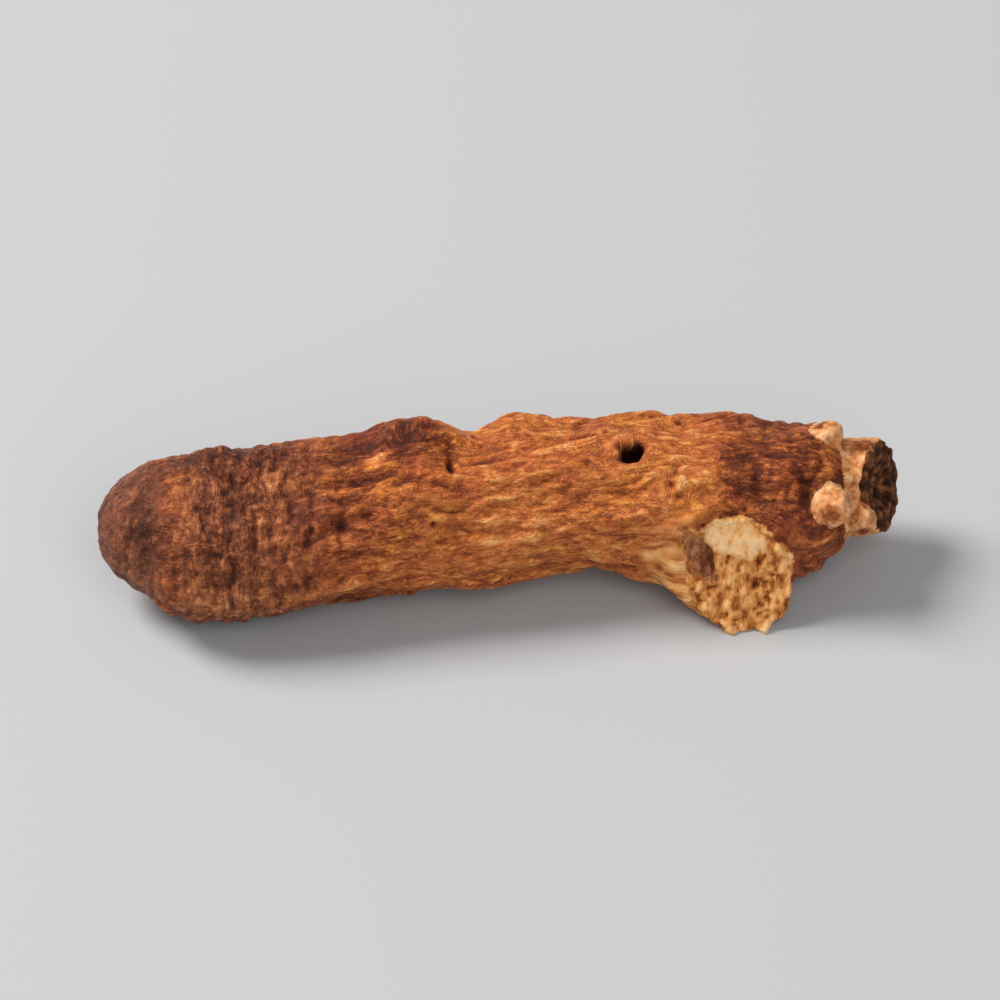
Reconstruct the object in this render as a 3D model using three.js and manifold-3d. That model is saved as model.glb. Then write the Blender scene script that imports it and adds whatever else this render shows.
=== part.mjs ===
// A roasted Solomon's seal root: one dried rhizome, thick as a thumb, lying on its side.
//
// Units are millimetres, +Z is up. X runs from the blunt growing tip, the club, to the end where
// the leafy stem stood. The root was broken from its neighbour at a side stump, which faces the
// front (-Y). A short stem stub and three buds stand on the far end, and an unbroken side bud
// points backwards. It lies on the club, the stump and the side bud, each rubbed slightly flat.
// It grew as one piece, so it is one solid.
import * as THREE from "three";
import { mergeVertices } from "three/addons/utils/BufferGeometryUtils.js";
import Module from "manifold-3d";

// The body's middle line and its half width and half height, from the club to the stem end.
const BODY = [
  { at: [0, 0.6, 7.6], wide: 8.1, tall: 7.5 },
  { at: [6, 0.7, 7.8], wide: 8.6, tall: 7.8 },
  { at: [13, 0, 7.9], wide: 9.0, tall: 8.2 },
  { at: [20, 1.1, 7.9], wide: 8.7, tall: 7.8 },
  { at: [26, 2.3, 8.3], wide: 8.5, tall: 7.8 },
  { at: [31, 3.0, 8.7], wide: 8.7, tall: 7.9 },
  { at: [37, 3.3, 8.5], wide: 8.0, tall: 7.2 },
  { at: [43, 4.6, 8.6], wide: 7.8, tall: 7.2 },
  { at: [49, 5.1, 8.7], wide: 7.6, tall: 6.9 },
  { at: [55, 5.4, 8.6], wide: 7.5, tall: 7.1 },
  { at: [61, 5.7, 8.4], wide: 7.5, tall: 7.4 },
  { at: [67, 5.1, 8.2], wide: 7.5, tall: 7.5 },
  { at: [74.6, 3.7, 7.9], wide: 8.0, tall: 7.5 },
];
// How far back each end of the body starts to round off: the club, then the stem end.
const BODY_CAPS = [12, 6.5];

// The side branch that was broken off at the front, and the plane of the break.
const STUMP = [
  { at: [60.2, 5, 6.6], wide: 8.4, tall: 6.4 },
  { at: [60.9, 1.6, 5.9], wide: 7.7, tall: 6.0 },
  { at: [62.7, -3.2, 5.3], wide: 5.8, tall: 5.5 },
  { at: [64.9, -11, 5.2], wide: 5.2, tall: 5.2 },
];
const STUMP_CAPS = [4, 1];
const BREAK = { at: [62.4, -3.2, 5.7], faces: [0.04, -0.9, 0.42] };
// The break takes a scallop of the body with it, down to the same plane.
const SCALLOP = { at: [61.6, -1.5, 7.0], size: [4.9, 6.0, 4.2] };
const BREAK_HOLLOW = { at: [59.0, -2.6, 7.2], size: [1.4, 1.3, 3.0] };

// The stub of the leafy stem, and the plane where it withered off.
const STUB = [
  { at: [65, 6.4, 8.0], wide: 5.6, tall: 5.6 },
  { at: [73, 6.4, 8.3], wide: 4.9, tall: 5.0 },
  { at: [77.1, 6.2, 8.6], wide: 4.6, tall: 4.8 },
  { at: [84, 5.2, 9.6], wide: 4.4, tall: 4.6 },
];
const STUB_CAPS = [4, 1];
const WITHERED = { at: [77.1, 6.2, 8.6], faces: [0.905, -0.32, 0.28] };
const WITHERED_HOLLOW = { at: [78.6, 5.7, 9.0], size: [2.9, 2.9, 2.9] };

// The unbroken side bud at the back, which the root also rests on.
const SIDE_BUD = [
  { at: [56, 5, 7.6], wide: 6.2, tall: 5.6 },
  { at: [54.6, 10, 5.8], wide: 5.1, tall: 4.9 },
  { at: [52.8, 13.6, 4.3], wide: 4.5, tall: 4.75 },
  { at: [51.0, 17.0, 4.3], wide: 3.0, tall: 3.2 },
];
const SIDE_BUD_CAPS = [3, 4];

// Small round buds at the foot of the stub: their middles and radii.
const BUDS = [
  { at: [71.6, 7.4, 14.2], radius: 1.6 },
  { at: [72.1, -0.6, 12.0], radius: 1.9 },
  { at: [75.0, 0.7, 8.9], radius: 1.5 },
];

// The hole that an insect left in the top, which leans into the root.
const WORM_HOLE = { at: [52.5, 3.5, 15.6], mouth: 1.15, end: 0.6, deep: 3, lean: 0.35, sides: 10 };

// Broad swellings on the body: distance along it, angle round it, half sizes and height.
const SWELLINGS = [
  { x: 31, angle: 1.15, along: 3.4, round: 0.55, height: 0.9 },
  { x: 38.0, angle: 0.95, along: 1.6, round: 0.7, height: -0.35 },
  { x: 42, angle: 1.0, along: 2.6, round: 0.5, height: 0.4 },
  { x: 55.6, angle: 2.15, along: 3.4, round: 0.5, height: 0.6 },
  { x: 47.5, angle: 4.0, along: 5, round: 0.6, height: -0.3 },
  { x: 24, angle: 5.3, along: 3, round: 0.5, height: 0.5 },
  { x: 54.2, angle: 3.85, along: 3.2, round: 0.55, height: 1.7 },
];

const RING_PITCH = 3.3;
const RING_HEIGHT = 0.16;
const LUMP_HEIGHT = 0.28;
const FURROW_DEPTH = 0.26;

const BODY_FACETS = { around: 44, along: 68 };
const LIMB_FACETS = { around: 26, along: 14 };
const HOLLOW_FACETS = { around: 14, along: 10 };
const BUD_FACETS = { around: 12, along: 8 };
// The facets stand this much closer together towards a limb's rounded ends.
const END_CROWDING = 0.4;

// The space under the root, up to the surface that it lies on.
const UNDERSIDE = { middle: [40, 5], size: [120, 60, 10] };

const wasm = await Module();
wasm.setup();

const UP = new THREE.Vector3(0, 0, 1);

function smoothstep(low, high, value) {
  return THREE.MathUtils.smoothstep(value, low, high);
}

// The lumps, rings and furrows of the dried skin: how far it stands out at a place on the body.
function relief(x, angle) {
  const clubby = 1 - smoothstep(16, 26, x);
  const ringed = clubby * smoothstep(4, 9, x);
  const phase = (2 * Math.PI * x) / RING_PITCH;
  const rings = Math.sin(phase + 1.1 * Math.sin(2 * angle + 0.6) + 0.7 * Math.sin(0.55 * x));
  const wide = Math.sin(6 * angle + 0.9 * Math.sin(0.16 * x) + 0.05 * x);
  const narrow = Math.sin(10 * angle - 0.11 * x + 1.6 * Math.sin(0.1 * x));
  const lumps = Math.sin(0.42 * x + 2 * angle) * Math.sin(0.21 * x - angle + 0.8);
  let height = RING_HEIGHT * rings * ringed + LUMP_HEIGHT * lumps;
  height += FURROW_DEPTH * (wide + 0.6 * narrow) * (1 - 0.8 * clubby);
  for (const s of SWELLINGS) {
    const turned = Math.atan2(Math.sin(angle - s.angle), Math.cos(angle - s.angle));
    const far = ((x - s.x) / s.along) ** 2 + (turned / s.round) ** 2;
    height += s.height * Math.exp(-far);
  }
  return height;
}

// A limb with rounded ends along the stations' middle line: a sphere's grid drawn out over it.
function limb(stations, caps, facets, raise = () => 0) {
  const middle = new THREE.CatmullRomCurve3(stations.map((s) => new THREE.Vector3(...s.at)));
  const girth = new THREE.CatmullRomCurve3(
    stations.map((s) => new THREE.Vector3(s.wide, s.tall, 0)),
  );
  const length = middle.getLength();
  const rounded = (distance, cap) => {
    const inside = Math.min(distance / cap, 1);
    return Math.sqrt(Math.max(0, 1 - (1 - inside) ** 2));
  };
  const geometry = new THREE.SphereGeometry(1, facets.around, facets.along);
  const position = geometry.getAttribute("position");
  const uv = geometry.getAttribute("uv");
  for (let i = 0; i < position.count; i++) {
    const angle = -2 * Math.PI * uv.getX(i);
    const even = 1 - uv.getY(i);
    const share = even - (END_CROWDING * Math.sin(2 * Math.PI * even)) / (2 * Math.PI);
    const t = middle.getUtoTmapping(THREE.MathUtils.clamp(share, 0, 1), null);
    const centre = middle.getPoint(t);
    const size = girth.getPoint(t);
    const tangent = middle.getTangent(t);
    const side = new THREE.Vector3().crossVectors(UP, tangent).normalize();
    const top = new THREE.Vector3().crossVectors(tangent, side);
    const round = rounded(share * length, caps[0]) * rounded((1 - share) * length, caps[1]);
    const raised = raise(centre.x, angle) * round;
    centre.addScaledVector(side, (size.x * round + raised) * Math.cos(angle));
    centre.addScaledVector(top, (size.y * round + raised) * Math.sin(angle));
    position.setXYZ(i, centre.x, centre.y, centre.z);
  }
  return geometry;
}

// A closed three.js geometry as a solid that can be cut and joined.
function solid(geometry) {
  geometry.deleteAttribute("normal");
  geometry.deleteAttribute("uv");
  const merged = mergeVertices(geometry);
  const mesh = new wasm.Mesh({
    numProp: 3,
    vertProperties: new Float32Array(merged.getAttribute("position").array),
    triVerts: new Uint32Array(merged.index.array),
  });
  return new wasm.Manifold(mesh);
}

function geometryOf(made) {
  const mesh = made.getMesh();
  const geometry = new THREE.BufferGeometry();
  geometry.setAttribute("position", new THREE.BufferAttribute(mesh.vertProperties, 3));
  geometry.setIndex(new THREE.BufferAttribute(mesh.triVerts, 1));
  geometry.computeVertexNormals();
  return geometry;
}

// A ball stretched to the half sizes given, with its middle at a point.
function ball(at, size, facets) {
  const geometry = new THREE.SphereGeometry(1, facets.around, facets.along);
  geometry.scale(...size);
  geometry.translate(...at);
  return solid(geometry);
}

// Everything on the far side of a plane, as one big block.
function beyond(plane) {
  const half = 30;
  const block = new THREE.BoxGeometry(2 * half, 2 * half, 2 * half);
  const faces = new THREE.Vector3(...plane.faces).normalize();
  const turn = new THREE.Quaternion().setFromUnitVectors(UP, faces);
  block.translate(0, 0, half);
  block.applyQuaternion(turn);
  block.translate(...plane.at);
  return solid(block);
}

function wormHole() {
  const { at, mouth, end, deep, lean, sides } = WORM_HOLE;
  const drill = new THREE.CylinderGeometry(mouth, end, 2 * deep, sides);
  drill.rotateX(Math.PI / 2);
  drill.rotateY(lean);
  drill.translate(...at);
  return solid(drill);
}

// A block of empty space to cut away.
function space(box) {
  const geometry = new THREE.BoxGeometry(...box.size);
  geometry.translate(...box.middle, -box.size[2] / 2);
  return solid(geometry);
}

const body = solid(limb(BODY, BODY_CAPS, BODY_FACETS, relief));
const stump = solid(limb(STUMP, STUMP_CAPS, LIMB_FACETS)).subtract(beyond(BREAK));
const scallop = ball(SCALLOP.at, SCALLOP.size, HOLLOW_FACETS).intersect(beyond(BREAK));
const recess = ball(BREAK_HOLLOW.at, BREAK_HOLLOW.size, HOLLOW_FACETS);
const stub = solid(limb(STUB, STUB_CAPS, LIMB_FACETS))
  .subtract(beyond(WITHERED))
  .subtract(ball(WITHERED_HOLLOW.at, WITHERED_HOLLOW.size, HOLLOW_FACETS));
const sideBud = solid(limb(SIDE_BUD, SIDE_BUD_CAPS, LIMB_FACETS));

let grown = body.add(stump).subtract(scallop).subtract(recess).add(stub).add(sideBud);
for (const bud of BUDS) {
  grown = grown.add(ball(bud.at, Array(3).fill(bud.radius), BUD_FACETS));
}
// What would reach under the surface that the root lies on is rubbed flat.
const geometry = geometryOf(grown.subtract(wormHole()).subtract(space(UNDERSIDE)));

const driedSkin = new THREE.MeshStandardMaterial({ color: 0x8a4f2b, roughness: 0.6, metalness: 0 });
const root = new THREE.Mesh(geometry, driedSkin);
root.name = "root";

// The part's origin is the middle of its box, on the surface that it lies on.
geometry.computeBoundingBox();
const middle = geometry.boundingBox.getCenter(new THREE.Vector3());
root.position.set(-middle.x, -middle.y, -geometry.boundingBox.min.z);

const group = new THREE.Group();
group.add(root);
export default group;
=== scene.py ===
"""One roasted Solomon's seal root, a dried rhizome lying on its side, on a plain pale floor.

The CAD root gives the size and the build. This script copies its mesh, remeshes it finely and
shrivels it: folds that stream along the root and part round its knots, rings on the blunt tip,
torn flesh where a side branch broke off, and a withered stem stub with pale buds at its foot.

Lengths are millimetres from the low corner of the CAD root's box, unless a name says metres:
x runs from the blunt tip to the stem end, y from the front to the back, z up from the floor.
Angles round the body are radians: 0 at the back, a quarter turn at the top, half a turn at the
front and minus a quarter turn underneath.
"""

import math

import bmesh
import bpy
import numpy as np
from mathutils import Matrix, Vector


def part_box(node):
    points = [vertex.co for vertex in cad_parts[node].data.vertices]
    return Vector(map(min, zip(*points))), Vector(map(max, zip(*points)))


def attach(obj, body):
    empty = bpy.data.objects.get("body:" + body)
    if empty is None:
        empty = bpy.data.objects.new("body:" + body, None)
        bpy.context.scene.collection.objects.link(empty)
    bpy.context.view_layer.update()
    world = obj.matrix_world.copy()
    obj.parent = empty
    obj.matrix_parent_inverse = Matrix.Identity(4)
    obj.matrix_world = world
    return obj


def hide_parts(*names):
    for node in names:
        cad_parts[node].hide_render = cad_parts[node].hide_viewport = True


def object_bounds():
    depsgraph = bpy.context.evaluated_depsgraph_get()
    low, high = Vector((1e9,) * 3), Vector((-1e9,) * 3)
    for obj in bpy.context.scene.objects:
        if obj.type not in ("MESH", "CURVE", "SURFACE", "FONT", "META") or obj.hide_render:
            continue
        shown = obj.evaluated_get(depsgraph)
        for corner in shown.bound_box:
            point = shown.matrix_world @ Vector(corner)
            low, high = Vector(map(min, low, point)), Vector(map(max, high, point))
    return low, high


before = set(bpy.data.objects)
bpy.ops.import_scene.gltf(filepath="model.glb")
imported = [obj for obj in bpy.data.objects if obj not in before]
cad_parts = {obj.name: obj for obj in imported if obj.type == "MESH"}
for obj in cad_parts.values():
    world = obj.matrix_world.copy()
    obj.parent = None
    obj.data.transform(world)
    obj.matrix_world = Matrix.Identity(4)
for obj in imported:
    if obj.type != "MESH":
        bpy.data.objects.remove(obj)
CAD_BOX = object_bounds()

MM = 0.001
LOW, HIGH = (np.array(corner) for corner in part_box("root"))
SIZE = (HIGH - LOW) / MM
# The side of the fine mesh's squares.
SQUARE = 0.262
WELD_METRES = 1e-6

# ---------------------------------------------------------------------------------------------
# Where things are on the root
# ---------------------------------------------------------------------------------------------

# The body's middle line: x, y and z of points along it. GIRTH is its mean radius.
MIDDLE_LINE = np.array([
    [0, 9.7, 7.6], [13, 9.1, 7.9], [26, 11.4, 8.3], [37, 12.4, 8.5], [49, 14.2, 8.7],
    [61, 14.8, 8.4], [70, 14.2, 8.2], [77, 15.2, 8.6],
])
GIRTH = 7.9

# Where the blunt tip's cap and the ringed club behind it fade out, and where the folds begin to
# turn round the stub's foot: from and to, along x.
CAP_FADES = (5.3, 7.7)
CLUB_FADES = (15, 27)
HOOPS_BEGIN = (61, 66)

# The side branches: where each leaves the body, where it ends, its radius, how high its rings
# stand, and its noise's seed.
STUMP = {"from": (60.7, 12.5, 6.4), "to": (63.0, 5.5, 5.2), "radius": 6.0, "rings": 0.0, "seed": 80}
SIDE_BUD = {"from": (55.0, 16.0, 7.0), "to": (51.5, 25.5, 4.4), "radius": 4.8, "rings": 0.4, "seed": 90}

# The torn face of the stump and the withered end of the stub: a point, and the way it faces.
BREAK = {"at": (62.4, 5.86, 5.7), "faces": (0.04, -0.9, 0.42)}
WITHERED = {"at": (77.1, 15.26, 8.6), "faces": (0.905, -0.32, 0.28)}
STUB_RADIUS = 5.0

# Patches of the torn face, as ellipses: across and up its plane from BREAK's point, half
# lengths across and up, and how far each leans to the left of upright.
TORN = {"middle": (0.6, -0.4), "half": (5.2, 6.5), "lean": 0.36}
CREAM = {"middle": (0.1, 3.7), "half": (3.3, 2.1), "lean": -0.45}
RECESS = {"middle": (-3.35, 1.6), "half": (1.3, 3.5), "lean": 0.45}

# A dark blotch on the stub's bare wall: middle and radius.
BLOTCH = ((75.2, 16.4, 13.1), 1.5)
# Small buds at the foot of the stub: middles and radii, and the point that they lean away from.
BUDS = [((71.6, 16.5, 14.2), 1.6), ((72.1, 8.5, 12.0), 1.9), ((75.0, 9.8, 8.9), 1.5)]
BUDS_LEAN_FROM = (74.5, 14.5, 11.0)

# Places on the body are x and angle.
WORM_HOLE = (52.35, 1.84)
WORM_HOLE_MOUTH = (1.4, 0.95)
WORM_HOLE_SLANT = 0.75
WORM_HOLE_DEPTH = 1.8
# How far from the middle line the hole's wall begins, below its mouth, where the wall is painted dark as
# shade: from and to.
WORM_HOLE_WALL = (6.9, 6.4)
OVAL_SCAR = (56.2, 2.33)
SLIT = (34.9, 1.84)
SLIT_SLANT = 0.15

# The swollen knot stands a little higher than the CAD shape, and ends in a step. Along x, from
# and to: where it rises, and the step.
KNOT_RISES = (26, 31)
KNOT_STEP = (34.2, 34.9)
KNOT_HEIGHT = 0.45

# Knots that the folds stream round: x, angle, and how far off the folds start to part.
KNOTS = [
    (61.8, -2.95, 6.5), (54.5, -0.45, 5.0), (*WORM_HOLE, 1.2), (*OVAL_SCAR, 1.5),
    (30.5, 1.25, 2.0), (72.0, 2.5, 1.6), (71.5, 1.2, 1.5), (24.0, -1.0, 2.2),
]
# Jagged creases that run round the club: x and depth.
RING_CREASES = [
    (9.3, 0.18), (11.6, 0.16), (13.7, 0.4), (16.0, 0.2), (17.9, 0.34), (19.3, 0.26), (21.2, 0.36),
    (24.3, 0.34),
]
RING_CREASE_WIDTH = 0.3

# Forms that the CAD shape leaves out: x and angle, half sizes along and round, height in mm, and
# slant if any.
FORMS = [
    # The slit below the swollen knot's step, and a dimple above it.
    (SLIT, (0.4, 0.9), -0.7, SLIT_SLANT), ((34.6, 1.58), (0.5, 0.4), -0.4),
    # The knot is lower on its far side, and has a furrow before it.
    ((31, 1.2), (4.5, 4.5), -0.3), ((26.0, 1.95), (3.2, 0.5), -0.5, 0.1),
    # The skin is drawn in round the foot of the stub, with a roll before that.
    ((69.4, 2.2), (0.8, 5.0), -0.55), ((66.3, 2.3), (1.8, 4.2), 0.35),
    # Two low lumps.
    ((60.2, 2.5), (1.6, 2.2), 0.45), ((43.5, 2.9), (1.4, 2.4), 0.35),
    # An oval scar with a sunk middle, and a pinhole.
    (OVAL_SCAR, (1.1, 0.85), 0.35), (OVAL_SCAR, (0.6, 0.45), -0.6), ((48, 1.98), (0.5, 0.4), -0.4),
]

# The folds, in layers: length, width, height and seed.
BODY_FOLDS = [(10, 3.4, 0.66, 10), (4.2, 1.55, 0.58, 20), (2.0, 0.8, 0.3, 30)]
HOOP_FOLDS = [(7, 2.4, 0.8, 46), (3, 1.2, 0.4, 56)]
BRANCH_FOLDS = [(7, 2.3, 0.46, 0), (3.2, 1.1, 0.36, 10)]

# Scars of small rootlets, each a low mound with a pore in it, are scattered mostly over the
# underside and the back.
SCAR_COUNT = 34
SCAR_SEED = 11
SCAR_HEIGHT = 0.5
PORE_DEPTH = 0.75

# How pale the skin is along the root, as x and paleness. Then patches paler or darker than that:
# x and angle, half sizes along and round, and strength.
PALENESS = [
    (0, -0.7), (7, -0.55), (10, -0.2), (19, -0.15), (26, 0.35), (34, 0.75), (44, 0.85), (52, 0.8),
    (60, 0.65), (63, 0), (77, 0),
]
PALE_PATCHES = [
    ((40.5, 2.7), (3.2, 3.4), 0.65), ((35, 3.1), (3.4, 1.3), 0.3), ((55.5, 2.1), (5.0, 4.4), 0.5),
    ((57, 2.95), (3.0, 2.2), 0.4), ((27.5, 1.64), (1.3, 1.0), 2.6), ((8.6, 1.9), (1.3, 3.6), 0.45),
    ((9.5, 3.2), (2.2, 1.6), 0.4), ((14, 3.35), (7, 2.4), 0.6), ((60.3, 2.2), (1.0, 2.4), 0.5),
    ((71.5, 1.9), (1.0, 1.6), 0.7), ((56.5, -2.9), (2.5, 2.0), 0.6), ((66.5, 2.5), (0.8, 1.5), 0.4),
]
# Some dark patches are painted shade: the first is a painted shadow along the club's top, the second
# painted shadow round the worm hole's rim, and the one at x 69.6 painted shade in the crease at the stub's
# foot.
DARK_AND_SHADE_PATCHES = [
    ((12.5, 1.3), (6.5, 2.6), 0.9), ((52.4, 1.9), (1.9, 1.5), 0.9), ((30, 1.5), (5.2, 3.4), 1.8),
    ((24.5, 1.75), (1.6, 4.2), 0.55), ((14.5, 2.1), (2.2, 2.6), 0.6), ((62.3, 1.9), (1.8, 1.6), 0.75),
    ((65.5, 2.1), (4.5, 5.5), 0.3), ((69.6, 2.2), (1.3, 5.0), 0.6),
    ((58.8, 2.85), (1.2, 1.0), 0.6), ((20.8, 2.3), (0.8, 3.0), 0.5), ((36, -1.2), (12, 5), 0.35),
    ((12, -1.5), (6, 4), 0.4), ((5.2, 2.4), (1.6, 4.2), 1.1), ((66, 0.2), (5, 5), 0.35),
    ((36, -2.6), (14, 2.2), 0.35),
]


def smoothstep(low, high, value):
    t = np.clip((value - low) / (high - low), 0, 1)
    return t * t * (3 - 2 * t)


def wrapped(angle):
    return (angle + math.pi) % (2 * math.pi) - math.pi


def unit(vector):
    vector = np.array(vector, float)
    return vector / np.linalg.norm(vector)


def body_place(points):
    """Each point's x and angle round the body, and its distance from the middle line."""
    x = points[:, 0]
    y = points[:, 1] - np.interp(x, MIDDLE_LINE[:, 0], MIDDLE_LINE[:, 1])
    z = points[:, 2] - np.interp(x, MIDDLE_LINE[:, 0], MIDDLE_LINE[:, 2])
    return x, np.arctan2(z, y), np.hypot(y, z)


def branch_place(points, branch):
    """Each point's distance along a side branch, angle round it and distance from its axis."""
    start = np.array(branch["from"])
    axis = unit(np.array(branch["to"]) - start)
    side = unit(np.cross(axis, (0, 0, 1)))
    top = np.cross(side, axis)
    away = points - start
    along = away @ axis
    return along, np.arctan2(away @ top, away @ side), np.hypot(away @ top, away @ side)


def streamed(x, angle, knots):
    """Coordinates along and across the folds, in mm, where the folds part round the knots."""
    along = x.copy()
    across = GIRTH * angle
    for knot_x, knot_angle, reach in knots:
        dx = x - knot_x
        turn = wrapped(angle - knot_angle)
        dy = GIRTH * turn
        push = 0.5 * (1 + np.cos(turn)) * reach**2 / (dx**2 + dy**2 + reach**2)
        along = along + push * dx
        across = across - push * dy
    return along, across


def round_tube(along, turn, radius):
    """Places on a tube as points in space, so that noise on them has no seam."""
    return np.stack([radius * np.cos(turn), radius * np.sin(turn), along], axis=1)


def spot(x, angle, at, size, slant=0.0):
    """A soft spot on the skin, 1 in its middle: its place, half sizes along and round, and slant."""
    dx = x - at[0]
    dy = GIRTH * wrapped(angle - at[1])
    along = math.cos(slant) * dx - math.sin(slant) * dy
    across = math.sin(slant) * dx + math.cos(slant) * dy
    return np.exp(-((along / size[0]) ** 2) - (across / size[1]) ** 2)


def patches(x, angle, listed):
    """The sum of soft spots, each listed as its place, half sizes, strength and slant if any."""
    total = np.zeros(len(x))
    for at, size, strength, *slant in listed:
        total += strength * spot(x, angle, at, size, *slant)
    return total


# ---------------------------------------------------------------------------------------------
# Noise: each use of it has a seed of its own
# ---------------------------------------------------------------------------------------------

NOISE_TABLE = 256
_random = np.random.default_rng(5)
SHUFFLE = _random.permutation(NOISE_TABLE)
GRADIENTS = _random.normal(size=(NOISE_TABLE, 3))
GRADIENTS /= np.linalg.norm(GRADIENTS, axis=1)[:, None]
JITTER = _random.uniform(size=(NOISE_TABLE, 3))
NOISE_GAIN = 1.55
RIDGE_POWER = 0.85
RIDGE_MEAN = 0.32


def shuffled(cell, seed):
    """A number from the noise table for each whole-numbered cell of space."""
    key = SHUFFLE[(cell[:, 0] + 37 * seed) % NOISE_TABLE]
    key = SHUFFLE[(key + cell[:, 1]) % NOISE_TABLE]
    return SHUFFLE[(key + cell[:, 2]) % NOISE_TABLE]


def noise(points, seed):
    """Smooth noise, about -1 to 1, with features about one unit across."""
    cell = np.floor(points).astype(int)
    inside = points - cell
    ease = inside**3 * (inside * (inside * 6 - 15) + 10)
    total = np.zeros(len(points))
    for corner in np.ndindex(2, 2, 2):
        corner = np.array(corner)
        slope = GRADIENTS[shuffled(cell + corner, seed)]
        weight = np.where(corner == 1, ease, 1 - ease).prod(axis=1)
        total += weight * ((inside - corner) * slope).sum(axis=1)
    return NOISE_GAIN * total


def rough(points, seed, octaves=3):
    """Noise with finer noise laid over it."""
    total = np.zeros(len(points))
    for octave in range(octaves):
        total += noise(points * 2**octave, seed + octave) / 2**octave
    return total


def grains(points, seed):
    """Distances to the nearest and the second nearest of one scattered grain per unit cell."""
    cell = np.floor(points).astype(int)
    nearest = np.full(len(points), 9.0)
    second = np.full(len(points), 9.0)
    for step in np.ndindex(3, 3, 3):
        around = cell + np.array(step) - 1
        far = np.linalg.norm(around + JITTER[shuffled(around, seed)] - points, axis=1)
        second = np.minimum(second, np.maximum(nearest, far))
        nearest = np.minimum(nearest, far)
    return nearest, second


def ridges(points, seed):
    """Rounded ridges with sharp creases between, about 0 on average and lowest in a crease."""
    return np.abs(noise(points, seed)) ** RIDGE_POWER - RIDGE_MEAN


def folds(along, across, length, width, seed):
    """Ridges that run along the root."""
    points = round_tube(along / length, across / GIRTH, GIRTH / width)
    bent = np.stack([noise(0.5 * points, seed + axis) for axis in (1, 2, 3)], axis=1)
    return ridges(points + 0.4 * bent, seed)


def fold_layers(along, across, layers, seed=0, widen=1.0):
    """Folds of several sizes, laid over each other, in mm."""
    height = np.zeros(len(along))
    for length, width, tall, layer_seed in layers:
        height += tall * folds(along, across, length, widen * width, seed + layer_seed)
    return height


def hoops(along, turn, pitch, radius, jags, seed):
    """Jagged ridges that run round a tube."""
    places = [along / pitch, radius * np.cos(turn), radius * np.sin(turn)]
    return ridges(np.stack(places, axis=1) + jags[:, None], seed)


# ---------------------------------------------------------------------------------------------
# The surface
# ---------------------------------------------------------------------------------------------

SOFTEN_ROUNDS = 26
# How far from the middle line the body ends and a branch begins: from and to.
OFF_BODY = (7.2, 9.0)
# How far past the CAD root's box the surface may stand, as a share of each side.
BOX_SLACK = 0.002
# How wide the seam between the body and a branch is, as a share of the change between them.
SEAM_WIDTH = 0.24


def fine_mesh(node, name):
    """The CAD node's surface as a new object, an even mesh of small squares."""
    mesh = node.data.copy()
    welded = bmesh.new()
    welded.from_mesh(mesh)
    bmesh.ops.remove_doubles(welded, verts=welded.verts, dist=WELD_METRES)
    welded.to_mesh(mesh)
    welded.free()
    made = bpy.data.objects.new(name, mesh)
    bpy.context.scene.collection.objects.link(made)
    squares = made.modifiers.new("squares", "REMESH")
    squares.mode = "VOXEL"
    squares.voxel_size = SQUARE * MM
    graph = bpy.context.evaluated_depsgraph_get()
    made.data = bpy.data.meshes.new_from_object(made.evaluated_get(graph))
    made.modifiers.clear()
    made.data.name = name
    return made


class Surface:
    """A mesh's points in millimetres, with what is needed to smooth and raise them."""

    def __init__(self, mesh):
        self.mesh = mesh
        self.count = len(mesh.vertices)
        points = np.empty(3 * self.count)
        mesh.vertices.foreach_get("co", points)
        self.points = (points.reshape(-1, 3) - LOW) / MM
        edges = np.empty(2 * len(mesh.edges), int)
        mesh.edges.foreach_get("vertices", edges)
        self.edges = edges.reshape(-1, 2)
        self.degree = np.bincount(edges, minlength=self.count)

    def average(self, values):
        """Each point's mean of a value over its neighbours."""
        one, other = self.edges.T
        total = np.bincount(one, values[other], self.count)
        total += np.bincount(other, values[one], self.count)
        return total / self.degree

    def smoothed(self, values, rounds, share=0.5):
        for _ in range(rounds):
            values = values + share * (self.average(values) - values)
        return values

    def relax(self, rounds, share=0.5):
        """Smooths the shape itself. share is one number, or one for each point."""
        for _ in range(rounds):
            means = np.stack([self.average(self.points[:, i]) for i in range(3)], axis=1)
            self.points = self.points + np.reshape(share, (-1, 1)) * (means - self.points)

    def write(self):
        places = self.points * MM + LOW
        self.mesh.vertices.foreach_set("co", places.ravel())
        self.mesh.update()

    def normals(self):
        self.write()
        found = np.empty(3 * self.count)
        self.mesh.vertices.foreach_get("normal", found)
        return found.reshape(-1, 3)

    def keep(self, name, values):
        """Stores a value for each point, for the material to read."""
        attribute = self.mesh.attributes.new(name, "FLOAT", "POINT")
        attribute.data.foreach_set("value", values.astype(np.float32))

    def keep_places(self, name, values):
        attribute = self.mesh.attributes.new(name, "FLOAT_VECTOR", "POINT")
        attribute.data.foreach_set("vector", values.astype(np.float32).ravel())


def face_place(points, face):
    """Each point's place across and up a torn face, in its plane, and how far it is in front."""
    out = unit(face["faces"])
    across = unit(np.cross((0, 0, 1), out))
    up = np.cross(out, across)
    away = points - np.array(face["at"])
    return away @ across, away @ up, away @ out


def ellipse(across, up, patch):
    """How far out each place is in an elliptical patch: 0 in its middle, 1 on its edge."""
    dx = across - patch["middle"][0]
    dy = up - patch["middle"][1]
    cos, sin = math.cos(patch["lean"]), math.sin(patch["lean"])
    return np.hypot((cos * dx + sin * dy) / patch["half"][0], (cos * dy - sin * dx) / patch["half"][1])


def rootlet_scars():
    """Places and radii of the rootlet scars, fewest on the side that faces up and forward."""
    random = np.random.default_rng(SCAR_SEED)
    scars = []
    while len(scars) < SCAR_COUNT:
        x = random.uniform(9, 70)
        angle = random.uniform(-math.pi, math.pi)
        radius = random.uniform(0.6, 1.05)
        seen = abs(wrapped(angle - 2.4)) < 1.1
        if not seen or random.uniform() < 0.15:
            scars.append((x, angle, radius))
    return scars


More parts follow.
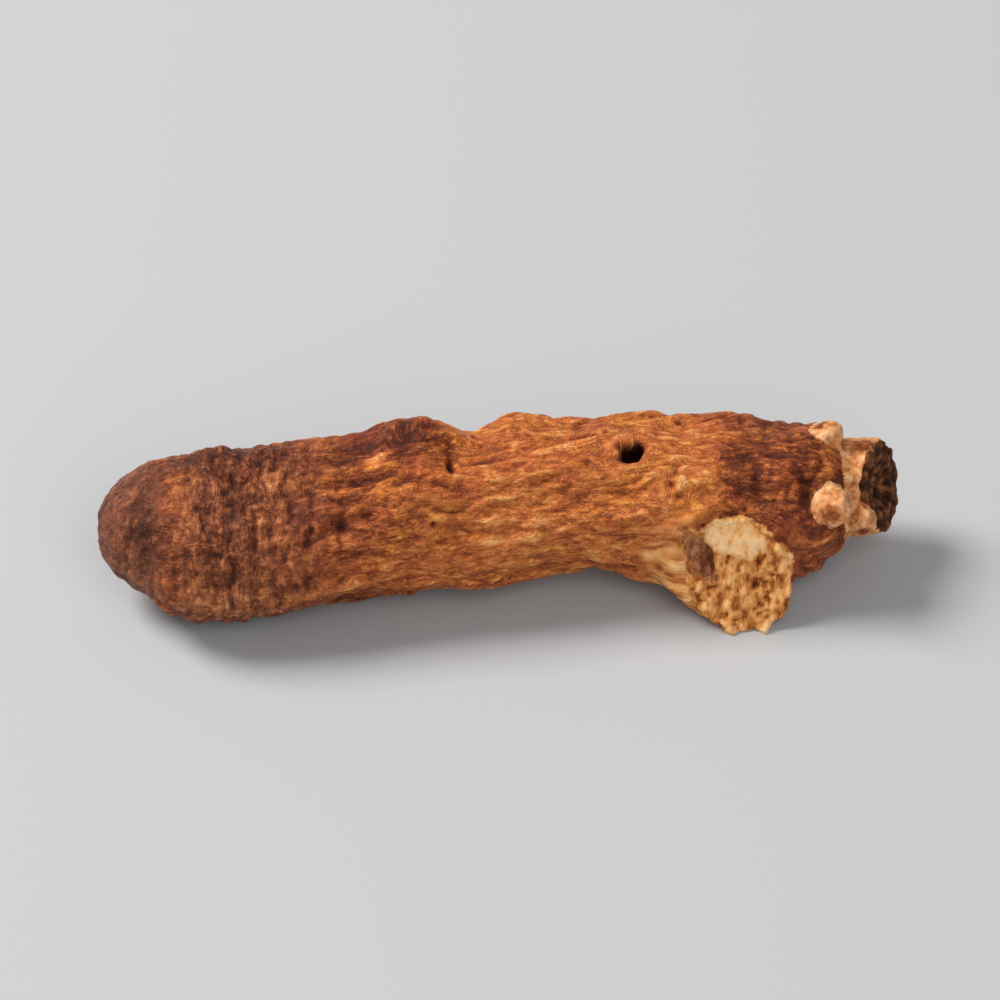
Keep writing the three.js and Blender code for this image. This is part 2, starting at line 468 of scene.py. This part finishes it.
def scar_relief(x, angle, scars):
    """The height of the rootlet scars' mounds, in mm, and how far each point is in a pore."""
    mounds = np.zeros(len(x))
    pores = np.zeros(len(x))
    for scar_x, scar_angle, radius in scars:
        mounds += SCAR_HEIGHT * spot(x, angle, (scar_x, scar_angle), (radius, radius))
        pores += spot(x, angle, (scar_x, scar_angle), (0.5 * radius, 0.5 * radius))
    return mounds, pores


def ring_creases(points, x):
    """Jagged creases round the club, each deep in places and faint in others."""
    total = np.zeros(len(x))
    for index, (at, depth) in enumerate(RING_CREASES):
        jag = 0.8 * rough(points / 2.2, 140 + index, 3)
        strength = smoothstep(-0.3, 0.4, noise(points / 2.8, 150 + index))
        total += depth * strength * np.exp(-(((x - at - jag) / RING_CREASE_WIDTH) ** 2))
    return total


def body_folds(points, x, angle, club, cap):
    """The body's folds, rings and grain, in mm out from the smooth shape.

    Also gives the flow, which is places on the skin where its fibres run straight, and how far
    each point is in a rootlet scar's pore.
    """
    scars = rootlet_scars()
    along, across = streamed(x, angle, KNOTS + [(sx, sa, 1.3 * r) for sx, sa, r in scars])
    height = (1 - 0.5 * club) * fold_layers(along, across, BODY_FOLDS)
    round_foot = smoothstep(*HOOPS_BEGIN, x)
    drawn_in = fold_layers(across, along, HOOP_FOLDS)
    height = (1 - 0.6 * round_foot) * height + round_foot * drawn_in

    jags = 0.3 * noise(points / 1.5, 41)
    height += 0.42 * club * hoops(along, across / GIRTH, 1.3, GIRTH / 7, jags, 40)
    height *= 1 - 0.7 * cap
    height += (0.06 + 0.08 * club) * rough(points / 0.95, 50, 2)
    height += 0.2 * cap * rough(points / 2.1, 52, 3)
    mounds, pores = scar_relief(x, angle, scars)
    flow = round_tube(along, across / GIRTH, GIRTH)
    return height + mounds - PORE_DEPTH * pores, flow, pores


def branch_folds(points, branch):
    """The folds of a side branch, which run along it, and the rings round it, in mm."""
    along, turn, _ = branch_place(points, branch)
    seed = branch["seed"]
    height = fold_layers(along, GIRTH * turn, BRANCH_FOLDS, seed, GIRTH / branch["radius"])
    height += 0.16 * rough(points / 1.7, seed + 5, 3)
    jags = 0.35 * noise(points / 1.8, seed + 7)
    return height + branch["rings"] * hoops(along, turn, 0.9, 1.3, jags, seed + 8)


def branch_share(points, reach, branch):
    """How far each point belongs to a side branch and not to the body."""
    along, _, off = branch_place(points, branch)
    beside = smoothstep(branch["radius"] + 4, branch["radius"] + 2, off)
    return smoothstep(*OFF_BODY, reach) * smoothstep(0, 3, along) * beside


def side_bud_tip(points, reach):
    """How far each point is on the side bud's tip."""
    along = branch_place(points, SIDE_BUD)[0] + 0.9 * noise(points / 2, 63)
    return smoothstep(6.0, 9.0, along) * branch_share(points, reach, SIDE_BUD)


def branched(points, reach, height, flow, bud_tip):
    """The body's folds and flow with the side branches' own on them, and the seams between."""
    seam = np.zeros(len(points))
    for branch in (STUMP, SIDE_BUD):
        share = branch_share(points, reach, branch)
        seam = np.maximum(seam, np.exp(-(((share - 0.5) / SEAM_WIDTH) ** 2)))
        own_height = (1 - 0.35 * bud_tip) * branch_folds(points, branch)
        height = (1 - share) * height + share * own_height
        along, turn, _ = branch_place(points, branch)
        own_flow = round_tube(along + branch["seed"], turn, branch["radius"])
        flow = np.where((share > 0.5)[:, None], own_flow, flow)
    return height, flow, seam


def forms(points, x, angle):
    """The larger forms that the CAD shape leaves out, in mm."""
    step = 1 - smoothstep(*KNOT_STEP, x + 0.5 * noise(points / 1.2, 110))
    height = KNOT_HEIGHT * smoothstep(*KNOT_RISES, x) * step * spot(x, angle, (31, 1.8), (30, 2.2))
    return height + patches(x, angle, FORMS) + 0.35 * noise(points / 6.5, 70)


def torn_flesh(points, cream):
    """The height of broken flesh, in mm: pitted between ridges, but smoother where it is cream."""
    fibrous = points * np.array((1.0, 0.7, 0.7)) / 1.1
    nearest, second = grains(fibrous + 0.6 * noise(points / 0.9, 131)[:, None], 130)
    pits = smoothstep(0.12, 0.45, second - nearest) * smoothstep(-0.2, 0.3, noise(points / 1.9, 132))
    crumbs = rough(fibrous, 120, 3)
    return (1 - 0.75 * cream) * (0.36 * crumbs - 0.42 * pits) + cream * (0.45 + 0.14 * crumbs)


def break_masks(points):
    """Where the flesh is torn, cream, sunk in the recess, or standing in a ragged rim."""
    across, up, out = face_place(points, BREAK)
    ragged = rough(points / 1.5, 125, 3)
    edge = ellipse(across, up, TORN) + 0.1 * ragged
    facing = smoothstep(-1.3, -0.5, out + 0.25 * ragged)
    recess = smoothstep(1.25, 0.5, ellipse(across, up, RECESS) + 0.15 * ragged)
    recess = recess * smoothstep(-4.2, -3.4, out)
    torn = np.maximum(smoothstep(1.06, 0.94, edge) * facing, smoothstep(0, 0.3, recess))
    cream = smoothstep(1.15, 0.8, ellipse(across, up, CREAM) + 0.16 * ragged) * (1 - recess) * torn
    rim = np.exp(-(((edge - 0.93) / 0.09) ** 2)) * facing * smoothstep(-0.2, 0.5, noise(points / 1.7, 128))
    return torn, cream, recess, rim


def stripped_flank(points):
    """Where the skin is stripped from the side of the stump that faces the blunt tip."""
    across, up, out = face_place(points, BREAK)
    ragged = rough(points / 2, 133, 2)
    near = smoothstep(-7.5, -3.0, out + 0.9 * ragged)
    left = smoothstep(-1.0, -3.2, across + 0.35 * up + 0.7 * ragged)
    left = left * smoothstep(-10.5, -6.5, across + ragged)
    return near * left * smoothstep(5.0, 2.6, up + 0.5 * ragged)


def bud_masks(points):
    """How far each point is on a small bud, and how far it is in the pit at the bud's end."""
    bud = np.zeros(len(points))
    pit = np.zeros(len(points))
    for middle, radius in BUDS:
        away = points - np.array(middle) + 0.3 * noise(points / 1.1, 165)[:, None]
        out = unit(np.array(middle) - np.array(BUDS_LEAN_FROM))
        aside = np.linalg.norm(away - np.outer(away @ out, out), axis=1)
        bud = np.maximum(bud, smoothstep(radius + 0.8, radius + 0.2, np.linalg.norm(away, axis=1)))
        pit = np.maximum(pit, smoothstep(0.75 * radius, 0.25 * radius, aside) * (away @ out > 0))
    return bud, pit * bud


def stub_masks(points, x):
    """The withered end of the stem stub, and the bare wall between that and the body's skin."""
    across, up, out = face_place(points, WITHERED)
    off = np.hypot(across, up)
    wander = 0.35 * rough(points / 1.6, 161, 2)
    end = np.maximum(smoothstep(-0.45, 0.05, out + 0.7 * wander), (off < 3.2) * (out > -2.5))
    end = end * smoothstep(STUB_RADIUS + 1.2, STUB_RADIUS + 0.6, off)
    wall = smoothstep(72.2, 73.0, x + wander) * (off < STUB_RADIUS + 1.4) * (1 - end)
    return end, wall


def withered_flesh(points):
    """The height of the stub's withered end, in mm: shrunken rings with cracks across them."""
    across, up, _ = face_place(points, WITHERED)
    off = np.hypot(across, up)
    turn = np.arctan2(up, across)
    ragged = rough(points / 1.5, 171, 3)
    cracks = np.abs(noise(round_tube(off / 4, turn, 2.6), 174)) ** 0.7
    rings = np.sin(2 * math.pi * off / 1.3 + 1.6 * ragged)
    return 0.5 * (cracks - 0.4) + 0.1 * rings + 0.2 * ragged


def worm_hole(points, x, angle, reach):
    """How far each point is in the mouth that is pressed in, and how far it is in the hole's painted
    shade.
    """
    mouth = spot(x, angle, WORM_HOLE, WORM_HOLE_MOUTH, WORM_HOLE_SLANT)
    # The mouth's middle and the wall below it are painted dark as shade.
    dark = smoothstep(0.2, 0.6, mouth + 0.12 * noise(points / 0.8, 64))
    near = spot(x, angle, WORM_HOLE, (1.9, 1.9)) > 0.3
    return mouth, np.maximum(dark, near * smoothstep(*WORM_HOLE_WALL, reach))


def skin_shade(points, x, angle, crease_and_pore_shade):
    """How much paler than usual the skin is, or darker where it is below 0, with painted shade in the
    slit, the ring creases and the rootlet pores, and in some dark patches.
    """
    pale = np.interp(x + 2.2 * noise(points / 4, 62), *np.transpose(PALENESS))
    pale += patches(x, angle, PALE_PATCHES)
    # Painted shade in the slit.
    slit = smoothstep(0.35, 0.8, spot(x, angle, SLIT, (0.45, 0.9), SLIT_SLANT))
    return pale - patches(x, angle, DARK_AND_SHADE_PATCHES) - slit - crease_and_pore_shade


def blotch(points):
    """How far each point is in the dark blotch."""
    middle, radius = BLOTCH
    return smoothstep(radius, 0.5 * radius, np.linalg.norm(points - np.array(middle), axis=1))


def soften(surface):
    """Smooths the CAD shape's facets away, but less on the break, the stub, the buds and the hole."""
    points = surface.points
    x, angle, _ = body_place(points)
    torn, _, _, _ = break_masks(points)
    end, _ = stub_masks(points, x)
    bud, _ = bud_masks(points)
    crisp = np.clip(torn + end + bud + 2 * spot(x, angle, WORM_HOLE, (1.5, 1.5)), 0, 1)
    across, up, _ = face_place(points, BREAK)
    hollow = smoothstep(2.2, 1.3, ellipse(across, up, RECESS))
    surface.relax(SOFTEN_ROUNDS, 0.5 * (1 - 0.85 * crisp * (1 - hollow)))


def settle(surface):
    """Takes the sharpest edges off, and keeps the root on the floor and in the CAD root's box."""
    surface.relax(1, 0.2)
    surface.points[:, 2] = np.maximum(surface.points[:, 2], 0)
    surface.points = np.clip(surface.points, -BOX_SLACK * SIZE, (1 + BOX_SLACK) * SIZE)
    surface.write()


def shrivel(surface):
    """Turns the smooth CAD shape into the dried root's, and stores what its material reads."""
    soften(surface)
    points = surface.points
    normals = surface.normals()
    x, angle, reach = body_place(points)

    club = 1 - smoothstep(*CLUB_FADES, x)
    cap = 1 - smoothstep(*CAP_FADES, x + 1.1 * rough(points / 1.8, 61, 2))
    bud_tip = side_bud_tip(points, reach)
    fine, flow, pores = body_folds(points, x, angle, club, cap)
    fine, flow, seam = branched(points, reach, fine, flow, bud_tip)
    rings = ring_creases(points, x)
    torn, cream, recess, rim = break_masks(points)
    bud, pit = bud_masks(points)
    end, wall = stub_masks(points, x)
    end = end * (1 - bud)
    mouth, hole = worm_hole(points, x, angle, reach)

    skin = (1 - torn) * (1 - np.clip(0.85 * bud + 0.6 * wall + end, 0, 1))
    relief = skin * (fine + forms(points, x, angle) - rings)
    relief += torn * (torn_flesh(points, cream) * (1 - 0.5 * recess) - 0.45 * recess + 0.3 * rim)
    relief += (1 - torn) * 0.25 * rim
    relief += (0.16 * wall + 0.3 * bud) * rough(points / 1.5, 160, 3) - 0.2 * pit
    relief += end * withered_flesh(points) - WORM_HOLE_DEPTH * mouth**2
    surface.points = points + normals * relief[:, None]
    settle(surface)

    kept = {
        # relief: how far each point stands above its neighbours, which the material paints as shade in the
        # hollows and as highlights on the ridges.
        "relief": np.clip(0.5 + 1.1 * (relief - surface.smoothed(relief, 40)), 0, 1),
        # shade: the skin's tone, with painted shade in the ring creases and the rootlet pores.
        "shade": skin_shade(points, x, angle, rings + 0.9 * pores) * (1 - hole),
        "torn": torn,
        "cream": np.clip(cream + 0.6 * rim, 0, 1),
        "recess": recess,
        "stripped": stripped_flank(points) * (1 - torn),
        "bare": np.clip(bud + wall, 0, 1),
        "pit": np.clip(0.7 * pit + blotch(points) * wall, 0, 1),
        "stub_end": end,
        "cap": cap,
        "club": club * smoothstep(6, 11, x),
        "bud_tip": bud_tip,
        "seam": seam,
        # hole: painted shade in the worm hole and on its wall.
        "hole": hole,
    }
    for name, values in kept.items():
        surface.keep(name, values)
    surface.keep_places("flow", flow)


# ---------------------------------------------------------------------------------------------
# The material
# ---------------------------------------------------------------------------------------------

# Colours are 0 to 255 on a screen. Each ramp runs from its darkest tone to its lightest.
SKIN_COLOURS = [
    (0.30, (66, 27, 14)), (0.42, (98, 43, 21)), (0.52, (138, 69, 34)), (0.62, (184, 102, 50)),
    (0.72, (216, 128, 62)), (0.84, (238, 176, 110)),
]
TIP_COLOURS = [
    (0.28, (54, 24, 12)), (0.42, (92, 47, 27)), (0.54, (134, 76, 47)), (0.66, (174, 112, 74)),
    (0.80, (216, 160, 116)),
]
SKIN_TINTS = [(0.38, (255, 238, 236)), (0.5, (255, 250, 246)), (0.62, (255, 252, 222))]
FLESH_COLOURS = [
    (0.26, (92, 42, 14)), (0.38, (168, 94, 38)), (0.50, (220, 146, 74)), (0.62, (252, 188, 118)),
    (0.76, (255, 212, 156)),
]
RECESS_COLOURS = [(0.36, (92, 50, 38)), (0.5, (150, 96, 74)), (0.64, (212, 150, 108))]
STRIP_COLOURS = [
    (0.32, (100, 44, 18)), (0.44, (178, 102, 48)), (0.54, (228, 150, 78)), (0.68, (252, 198, 130)),
]
BARE_COLOURS = [
    (0.28, (98, 46, 18)), (0.40, (168, 94, 46)), (0.50, (212, 142, 86)), (0.64, (246, 198, 146)),
]
# The stub's end is dark partly in its own colour and partly as painted shadow.
END_AND_SHADOW_COLOURS = [(0.30, (34, 13, 5)), (0.50, (74, 35, 15)), (0.72, (142, 86, 46))]
# Painted shade in the worm hole.
HOLE_SHADE_COLOUR = (52, 20, 9)
# The skin is glossier and duller by turns, between these two roughnesses, and what has no skin is
# rougher still.
ROUGHNESS = (0.32, 0.54)
TORN_MATT = 0.2
END_MATT = 0.4
SPECULAR = 0.2
BUMP_STRENGTH = 0.8
BUMP_MM = 0.35
# The middle of Blender's noise, and of creases made from it.
NOISE_MIDDLE = 0.5
CREASE_MIDDLE = 0.55


def linear(red, green, blue):
    """A colour given as 0 to 255 on a screen, as Blender's linear values."""
    values = [channel / 255 for channel in (red, green, blue)]
    return [v / 12.92 if v <= 0.04045 else ((v + 0.055) / 1.055) ** 2.4 for v in values] + [1.0]


class Nodes:
    """A material's nodes, with short ways to add and join them."""

    def __init__(self, name):
        self.material = bpy.data.materials.new(name)
        self.material.use_nodes = True
        self.tree = self.material.node_tree
        self.shader = self.tree.nodes["Principled BSDF"]

    def put(self, socket, value):
        if isinstance(value, bpy.types.NodeSocket):
            self.tree.links.new(value, socket)
        else:
            socket.default_value = value

    def add(self, kind, inputs, output=0, **settings):
        made = self.tree.nodes.new(kind)
        for name, value in settings.items():
            setattr(made, name, value)
        for name, value in inputs.items():
            self.put(made.inputs[name], value)
        return made.outputs[output]

    def attribute(self, name, output="Fac"):
        return self.add("ShaderNodeAttribute", {}, output, attribute_name=name)

    def math(self, operation, first, second=0.0, clamp=False):
        inputs = {0: first, 1: second}
        return self.add("ShaderNodeMath", inputs, operation=operation, use_clamp=clamp)

    def plus(self, first, second, clamp=False):
        return self.math("ADD", first, second, clamp)

    def minus(self, first, second, clamp=False):
        return self.math("SUBTRACT", first, second, clamp)

    def times(self, first, second):
        return self.math("MULTIPLY", first, second)

    def sum_of(self, start, terms):
        """start, with each listed value times its weight added."""
        total = start
        for value, weight in terms:
            total = self.plus(total, self.times(value, weight))
        return total

    def span(self, value, low, high, new_low=0.0, new_high=1.0):
        """value mapped smoothly from the range low-high to new_low-new_high."""
        inputs = {"Value": value, "From Min": low, "From Max": high, "To Min": new_low, "To Max": new_high}
        return self.add("ShaderNodeMapRange", inputs, interpolation_type="SMOOTHSTEP")

    def mix(self, share, first, second, blend="MIX"):
        inputs = {0: share, 6: first, 7: second}
        return self.add("ShaderNodeMix", inputs, 2, data_type="RGBA", blend_type=blend)

    def ramp(self, value, stops):
        made = self.tree.nodes.new("ShaderNodeValToRGB")
        self.put(made.inputs[0], value)
        elements = made.color_ramp.elements
        while len(elements) < len(stops):
            elements.new(0.5)
        for element, (place, colour) in zip(elements, stops):
            element.position = place
            element.color = linear(*colour)
        return made.outputs[0]

    def noise(self, vector, scale, detail=3.0, roughness=0.55, distortion=0.0):
        inputs = {
            "Vector": vector, "Scale": scale, "Detail": detail,
            "Roughness": roughness, "Distortion": distortion,
        }
        return self.add("ShaderNodeTexNoise", inputs)

    def scaled(self, vector, scale):
        return self.add("ShaderNodeVectorMath", {0: vector, 1: scale}, operation="MULTIPLY")


class RootNodes(Nodes):
    """The root material's nodes, with what its colours and its bump share."""

    def __init__(self, name):
        super().__init__(name)
        place = self.add("ShaderNodeTexCoord", {}, "Object")
        self.millimetres = self.scaled(place, (1 / MM,) * 3)
        self.flow = self.attribute("flow", "Vector")
        # How far a point stands above its neighbours: the colours darken the hollows with it as painted
        # shade and lighten the ridges as painted highlight.
        self.ridge_highlight_and_crease_shade = self.minus(self.attribute("relief"), 0.5)
        self.mottle = self.noise(self.millimetres, 1.7, 5.0, 0.74)
        self.speckles = self.minus(self.mottle, NOISE_MIDDLE)

        # The two tips have nubs and no lengthwise wrinkles, and the club has rings and few.
        self.club = self.attribute("club")
        self.cap = self.plus(self.attribute("cap"), self.attribute("bud_tip"), clamp=True)
        self.knobby = self.plus(self.club, self.cap, clamp=True)
        self.off_club = self.minus(1.0, self.times(self.knobby, 0.75))
        # The fibres fade out where a branch's meet the body's.
        self.off_seam = self.minus(1.0, self.attribute("seam"))
        self.wrinkled = self.times(self.minus(1.0, self.cap), self.off_seam)

        self.long_creases = self.creases(self.scaled(self.flow, (1, 1, 0.35)), 0.95)
        self.small_creases = self.creases(self.scaled(self.flow, (1, 1, 0.6)), 2.1)
        self.rings = self.times(self.creases(self.scaled(self.flow, (0.24, 0.24, 1)), 1.1), self.club)
        self.nubs = self.times(self.creases(self.millimetres, 0.8), self.knobby)

        self.torn = self.patch("torn", 0.35, 0.65)
        self.stripped = self.patch("stripped", 0.25, 0.85)
        self.bare = self.patch("bare", 0.4, 0.7)
        self.ended = self.patch("stub_end", 0.4, 0.7)

    def creases(self, vector, scale):
        """Wrinkles: 0 in a sharp crease, about 1 on a ridge."""
        folded = self.minus(self.noise(vector, scale, 3.0, 0.6, 0.5), NOISE_MIDDLE)
        return self.math("MULTIPLY", self.math("ABSOLUTE", folded), 6.0, clamp=True)

    def patch(self, name, low, high):
        """Where a stored patch is, with its edge made ragged."""
        return self.span(self.sum_of(self.attribute(name), [(self.speckles, 1.1)]), low, high)


def skin_tone(n):
    """How light the skin is: dark in its creases as painted shade, and lighter on its ridges as painted
    highlight.
    """
    streaks = n.noise(n.scaled(n.flow, (1, 1, 0.3)), 1.1, 4.0, 0.65, 0.4)
    # The wrinkles' creases, the same ones the bump draws, and the club's ring creases are painted darker
    # here as shade; the streaks are the skin's own.
    lengthwise = n.sum_of(0.0, [
        (n.minus(n.long_creases, CREASE_MIDDLE), 0.15), (n.minus(n.small_creases, CREASE_MIDDLE), 0.12),
        (n.minus(streaks, NOISE_MIDDLE), 0.28),
    ])
    ringed = n.minus(n.rings, n.times(n.club, CREASE_MIDDLE))
    crease_shade_and_streaks = n.sum_of(n.times(lengthwise, n.off_club), [(ringed, 0.12)])
    speckled = n.sum_of(0.38, [(n.plus(n.cap, n.club), 0.14)])
    blotches = n.noise(n.millimetres, 0.2, 3.0, 0.6)
    return n.sum_of(0.45, [
        (crease_shade_and_streaks, n.wrinkled), (n.speckles, speckled), (blotches, 0.28), (n.attribute("shade"), 0.13),
        (n.ridge_highlight_and_crease_shade, 0.3), (n.nubs, 0.12), (n.knobby, -0.06),
    ])


def skin_colour(n):
    """The skin, redder in places and yellower in others, and duller on the tips and the club."""
    tone = skin_tone(n)
    hue = n.noise(n.millimetres, 0.27, 2.0, 0.6)
    skin = n.mix(1.0, n.ramp(tone, SKIN_COLOURS), n.ramp(hue, SKIN_TINTS), "MULTIPLY")
    dulled = n.plus(n.times(n.cap, 0.85), n.times(n.club, 0.6), clamp=True)
    return n.mix(dulled, skin, n.ramp(tone, TIP_COLOURS))


def flesh_colour(n):
    """Torn flesh, lighter in its cream patch and skinned over in its recess, with painted shade in its
    hollows and painted highlights on its ridges.
    """
    fibres = n.noise(n.scaled(n.millimetres, (1, 0.5, 0.5)), 1.3, 5.0, 0.75)
    tone = n.sum_of(n.minus(fibres, 0.02), [(n.ridge_highlight_and_crease_shade, 0.34), (n.attribute("cream"), 0.18)])
    sunk = n.span(n.sum_of(n.attribute("recess"), [(n.speckles, 1.8)]), 0.2, 1.1)
    return n.mix(n.times(sunk, 0.82), n.ramp(tone, FLESH_COLOURS), n.ramp(fibres, RECESS_COLOURS))


def strip_colour(n):
    """The long strips of the stripped flank, with painted shade in the hollows and painted highlights on
    the ridges.
    """
    strips = n.minus(n.noise(n.scaled(n.flow, (1, 1, 0.25)), 1.4, 5.0, 0.72), NOISE_MIDDLE)
    return n.ramp(n.sum_of(0.525, [(strips, n.off_seam), (n.ridge_highlight_and_crease_shade, 0.5)]), STRIP_COLOURS)


def bare_colour(n):
    """The small buds and the stub's wall, with painted shade in their hollows and painted highlights on
    their ridges.
    """
    tone = n.sum_of(0.2, [(n.mottle, 0.6), (n.ridge_highlight_and_crease_shade, 0.3), (n.attribute("pit"), -0.18)])
    return n.ramp(tone, BARE_COLOURS)


def end_colour(n):
    """The stub's withered end, dark partly in its own colour and partly as painted shadow, with painted
    shade in its hollows and painted highlights on its ridges.
    """
    return n.ramp(n.sum_of(n.mottle, [(n.ridge_highlight_and_crease_shade, 0.8)]), END_AND_SHADOW_COLOURS)


def bump_height(n):
    """The finest wrinkles, on the skin only, and a grain over everything."""
    lengthwise = n.sum_of(0.0, [(n.long_creases, 0.5), (n.small_creases, 0.35)])
    wrinkles = n.sum_of(n.times(lengthwise, n.off_club), [(n.rings, 0.3), (n.nubs, 0.45)])
    off_skin = n.plus(n.plus(n.ended, n.bare), n.torn)
    wrinkled_skin = n.minus(n.wrinkled, off_skin, clamp=True)
    nubbed_skin = n.minus(n.cap, off_skin, clamp=True)
    height = n.times(wrinkles, n.math("MAXIMUM", wrinkled_skin, nubbed_skin))
    grain = n.sum_of(0.55, [(n.bare, -0.3)])
    return n.sum_of(height, [(n.mottle, grain)])


def root_material():
    """Dried skin, with pale flesh where it is torn and a dark end where the stem withered, partly painted
    shadow, and painted shade in the worm hole.
    """
    n = RootNodes("dried_root_skin")
    colour = n.mix(n.stripped, skin_colour(n), strip_colour(n))
    colour = n.mix(n.bare, colour, bare_colour(n))
    # The stub's end: its own dark colour, with painted shadow.
    colour = n.mix(n.ended, colour, end_colour(n))
    colour = n.mix(n.torn, colour, flesh_colour(n))
    # Painted shade in the worm hole.
    colour = n.mix(n.attribute("hole"), colour, linear(*HOLE_SHADE_COLOUR))
    n.put(n.shader.inputs["Base Color"], colour)

    skin_gloss = n.span(n.noise(n.millimetres, 1.1, 3.0), 0.35, 0.65, *ROUGHNESS)
    matt = n.sum_of(n.times(n.torn, TORN_MATT), [(n.ended, END_MATT)])
    n.put(n.shader.inputs["Roughness"], n.plus(skin_gloss, matt, clamp=True))
    n.put(n.shader.inputs["Specular IOR Level"], SPECULAR)
    inputs = {"Strength": BUMP_STRENGTH, "Distance": BUMP_MM * MM, "Height": bump_height(n)}
    n.put(n.shader.inputs["Normal"], n.add("ShaderNodeBump", inputs))
    return n.material


def make_root():
    root = fine_mesh(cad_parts["root"], "dried_root")
    shrivel(Surface(root.data))
    root.data.shade_smooth()
    root.data.materials.clear()
    root.data.materials.append(root_material())
    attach(root, "root")
    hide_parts("root")
    return root


# ---------------------------------------------------------------------------------------------
# Floor, light and camera, in metres
# ---------------------------------------------------------------------------------------------

FLOOR_HALF = 3.0
FLOOR_GREY = (184, 185, 186)
FLOOR_ROUGHNESS = 0.85
WORLD_GREY = (236, 238, 242)
WORLD_STRENGTH = 0.33
# The lights: name, place, size, watts and colour.
LIGHTS = [
    ("window", (-0.75, 0.25, 0.95), 0.6, 16.5, (1.0, 0.985, 0.96)),
    ("fill", (0.3, -0.9, 0.9), 1.1, 6.5, (0.98, 0.99, 1.0)),
]
CAMERA_ELEVATION = math.radians(42)
CAMERA_DISTANCE = 0.6
CAMERA_VIEW_WIDTH = 0.098
SENSOR_MM = 36.0


def make_floor():
    signs = ((-1, -1), (1, -1), (1, 1), (-1, 1))
    corners = [(sx * FLOOR_HALF, sy * FLOOR_HALF, 0) for sx, sy in signs]
    mesh = bpy.data.meshes.new("floor")
    mesh.from_pydata(corners, [], [(0, 1, 2, 3)])
    floor = bpy.data.objects.new("floor", mesh)
    bpy.context.scene.collection.objects.link(floor)
    n = Nodes("pale_floor")
    n.shader.inputs["Base Color"].default_value = linear(*FLOOR_GREY)
    n.shader.inputs["Roughness"].default_value = FLOOR_ROUGHNESS
    mesh.materials.append(n.material)


def aim(thing, at):
    thing.rotation_euler = (Vector(at) - thing.location).to_track_quat("-Z", "Y").to_euler()


def make_light(name, place, size, watts, colour):
    lamp = bpy.data.lights.new(name, "AREA")
    lamp.shape = "DISK"
    lamp.size = size
    lamp.energy = watts
    lamp.color = colour
    made = bpy.data.objects.new(name, lamp)
    made.location = place
    bpy.context.scene.collection.objects.link(made)
    aim(made, (0, 0, 0))


def make_lights():
    for light in LIGHTS:
        make_light(*light)
    world = bpy.data.worlds.new("room")
    world.use_nodes = True
    background = world.node_tree.nodes["Background"]
    background.inputs["Color"].default_value = linear(*WORLD_GREY)
    background.inputs["Strength"].default_value = WORLD_STRENGTH
    bpy.context.scene.world = world
    bpy.context.scene.view_settings.view_transform = "Standard"


def make_camera():
    low, high = CAD_BOX
    middle = (low + high) / 2
    lens = bpy.data.cameras.new("camera")
    lens.sensor_width = SENSOR_MM
    lens.lens = SENSOR_MM * CAMERA_DISTANCE / CAMERA_VIEW_WIDTH
    lens.clip_start = 0.01
    camera = bpy.data.objects.new("camera", lens)
    away = Vector((0, -math.cos(CAMERA_ELEVATION), math.sin(CAMERA_ELEVATION)))
    camera.location = middle + CAMERA_DISTANCE * away
    bpy.context.scene.collection.objects.link(camera)
    aim(camera, middle)
    bpy.context.scene.camera = camera


make_camera()
make_floor()
make_lights()
make_root()
